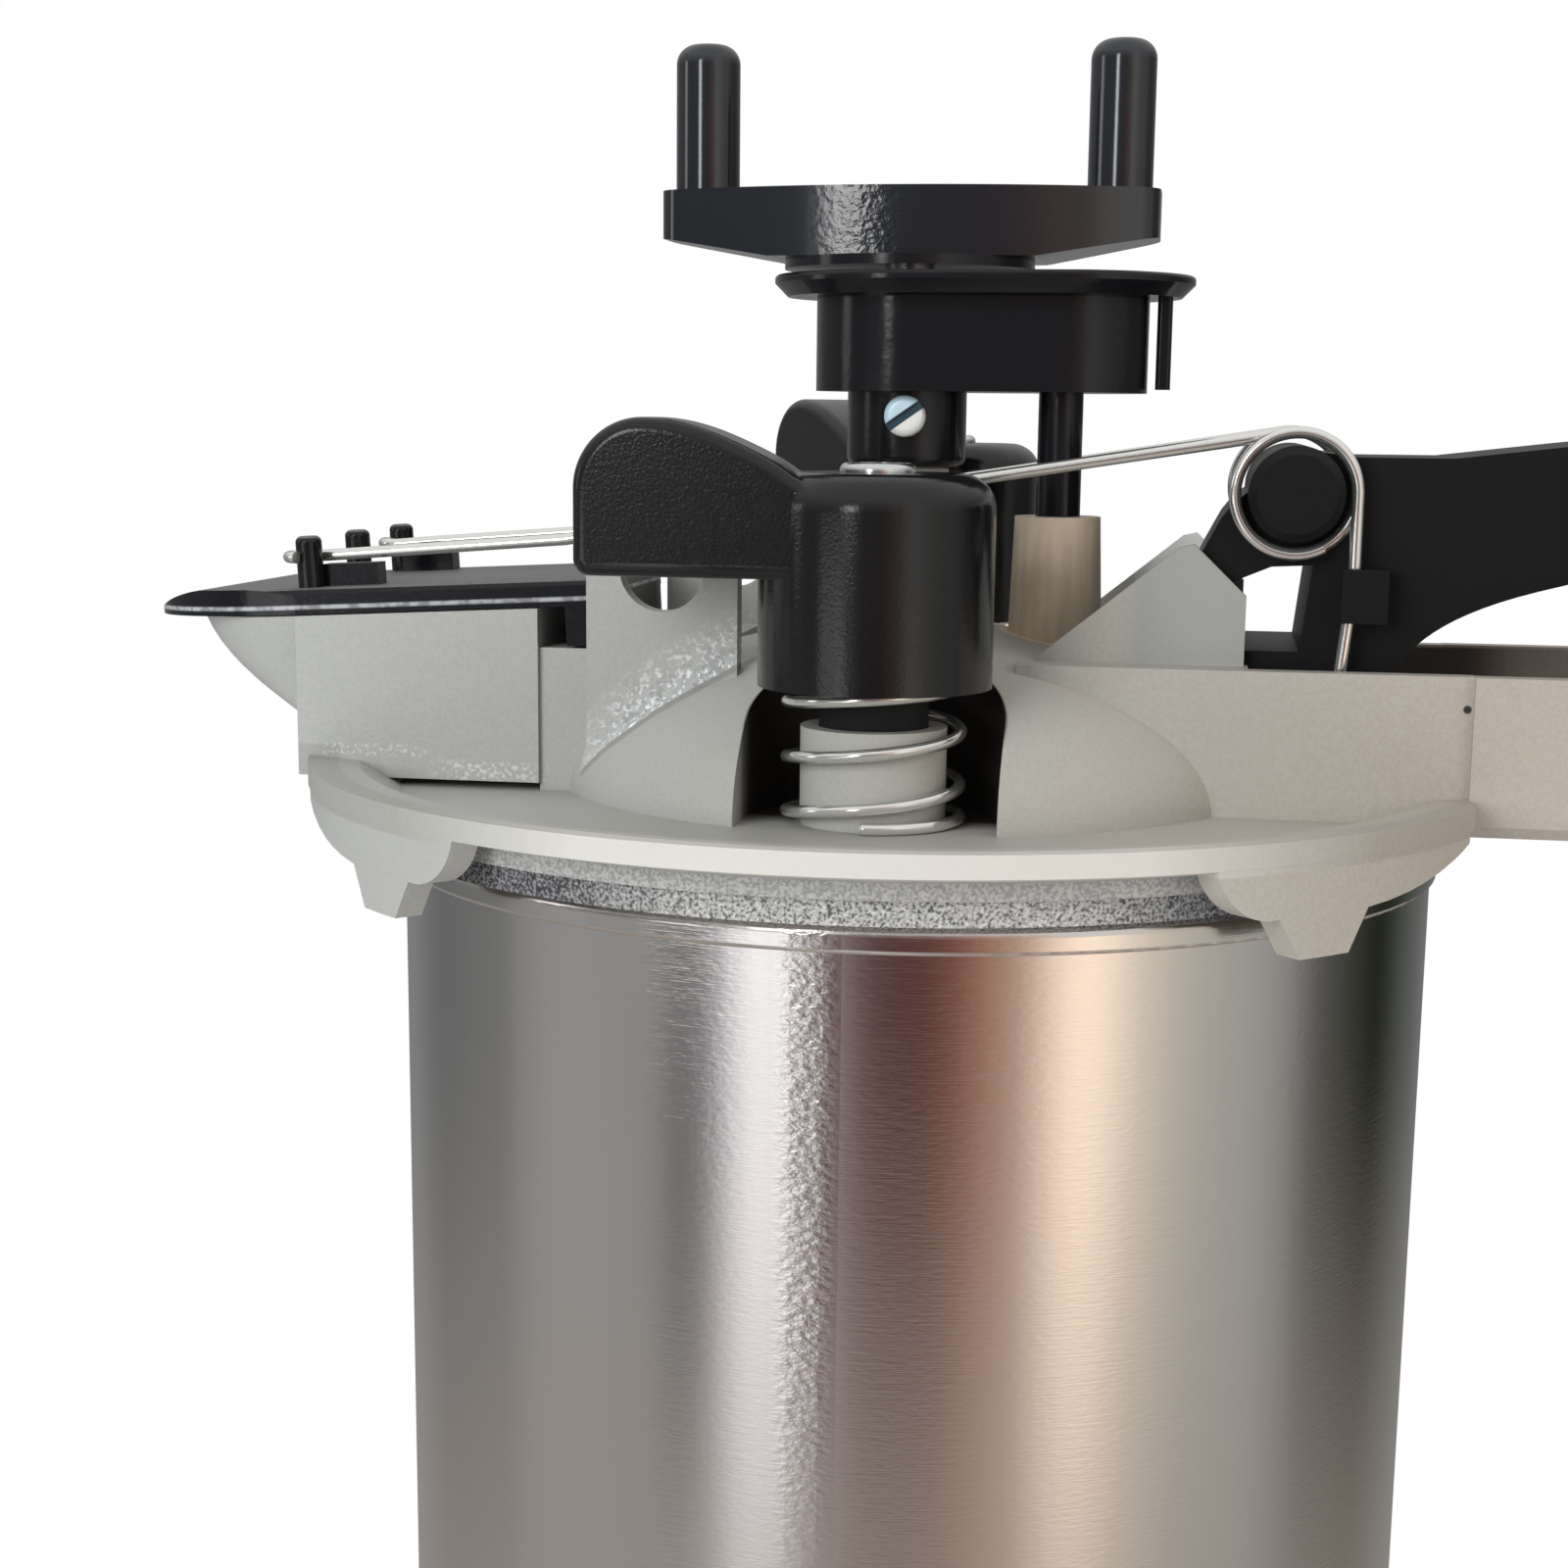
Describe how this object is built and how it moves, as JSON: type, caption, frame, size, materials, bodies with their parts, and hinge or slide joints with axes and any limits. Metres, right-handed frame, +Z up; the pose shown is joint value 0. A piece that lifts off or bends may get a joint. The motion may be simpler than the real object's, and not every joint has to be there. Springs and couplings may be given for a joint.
{
  "type": "agitator lid on a round tin",
  "caption": "Pouring agitator lid clamped on a round paint tin: sliding spout gate, thumb lever handle, spring clamps and a fork that turns a geared stirrer.",
  "frame": {"origin": "on the axis of the tin, in the plane of the rim it stands on", "axes": "+Z up along the tin, +X along the handle, so the spout points to -X"},
  "size_m": [0.2313, 0.125, 0.2103],
  "materials": {
    "tinplate": "bright brushed tinplate",
    "gasket": "dark closed cell foam",
    "casting": "fine textured paint",
    "black_plastic": "black, satin to gloss",
    "pale_plastic": "natural white",
    "steel": "bright turned",
    "zinc": "bright zinc plate",
    "wire": "nickel plated spring wire",
    "rubber": "black"
  },
  "bodies": {
    "tin_and_lid": {"tin_body": "tinplate", "tin_mouth_ring": "tinplate", "tin_bottom": "tinplate", "lid_gasket": "gasket", "lid_casting": "casting", "lever_pin": "steel", "gear_housing": "black_plastic", "housing_cover": "black_plastic", "housing_clamp_screw": "zinc", "shaft_bush": "pale_plastic", "shaft_seal": "rubber", "front_clamp_spring": "wire", "rear_clamp_spring": "wire"},
    "fork": {"drive_fork": "black_plastic", "fork_washer": "black_plastic", "drive_shaft": "steel", "drive_gear": "pale_plastic"},
    "stirrer": {"driven_gear": "pale_plastic", "stirrer_shaft": "black_plastic", "lower_paddle": "zinc", "upper_paddle": "zinc", "paddle_pins": "steel"},
    "lever": {"thumb_lever": "black_plastic", "return_springs": "wire"},
    "gate": {"spout_gate": "black_plastic"},
    "wire": {"pull_wire": "wire"},
    "front_press": {"front_clamp_washer": "zinc"},
    "front_turn": {"front_clamp_knob": "black_plastic", "front_clamp_stud": "zinc", "front_clamp_nut": "zinc", "front_clamp_foot": "zinc"},
    "rear_press": {"rear_clamp_washer": "zinc"},
    "rear_turn": {"rear_clamp_knob": "black_plastic", "rear_clamp_stud": "zinc", "rear_clamp_nut": "zinc", "rear_clamp_foot": "zinc"}
  },
  "joints": [
    {"name": "fork_spin", "type": "hinge", "parent": "tin_and_lid", "child": "fork", "pos_m": [-0.0015, 0, 0.19], "axis": [0, 0, 1], "continuous": true},
    {"name": "stirrer_spin", "type": "hinge", "parent": "tin_and_lid", "child": "stirrer", "pos_m": [0.0145, 0, 0.16], "axis": [0, 0, 1], "continuous": true},
    {"name": "lever_press", "type": "hinge", "parent": "tin_and_lid", "child": "lever", "pos_m": [0.042, 0, 0.142], "axis": [0, 1, 0], "range_deg": [0, 22.92], "stiffness_Nm_per_rad": 0.4, "springref_deg": -22.92},
    {"name": "gate_slide", "type": "slide", "parent": "tin_and_lid", "child": "gate", "axis": [0.9985, 0, 0.0541], "range_m": [0, 0.00959]},
    {"name": "wire_turn", "type": "hinge", "parent": "lever", "child": "wire", "pos_m": [0.0383, 0, 0.1659], "axis": [0, 1, 0], "range_deg": [-22.7, 0]},
    {"name": "front_clamp_press", "type": "slide", "parent": "tin_and_lid", "child": "front_press", "axis": [0, 0, -1], "range_m": [0, 0.003], "stiffness_N_per_m": 1200, "springref_m": -0.006, "deforming": ["front_clamp_spring"]},
    {"name": "front_clamp_turn", "type": "hinge", "parent": "front_press", "child": "front_turn", "pos_m": [-0.0006, -0.0285, 0.15], "axis": [0, 0, 1], "range_deg": [0, 90]},
    {"name": "rear_clamp_press", "type": "slide", "parent": "tin_and_lid", "child": "rear_press", "axis": [0, 0, -1], "range_m": [0, 0.003], "stiffness_N_per_m": 1200, "springref_m": -0.006, "deforming": ["rear_clamp_spring"]},
    {"name": "rear_clamp_turn", "type": "hinge", "parent": "rear_press", "child": "rear_turn", "pos_m": [-0.0006, 0.0285, 0.15], "axis": [0, 0, -1], "range_deg": [0, 90]}
  ],
  "couplings": [
    {"joint": "stirrer_spin", "follows": "fork_spin", "ratio": -1.1053},
    {"joint": "gate_slide", "follows": "lever_press", "m_per_rad": 0.023852},
    {"joint": "wire_turn", "follows": "lever_press", "ratio": -0.97599}
  ]
}
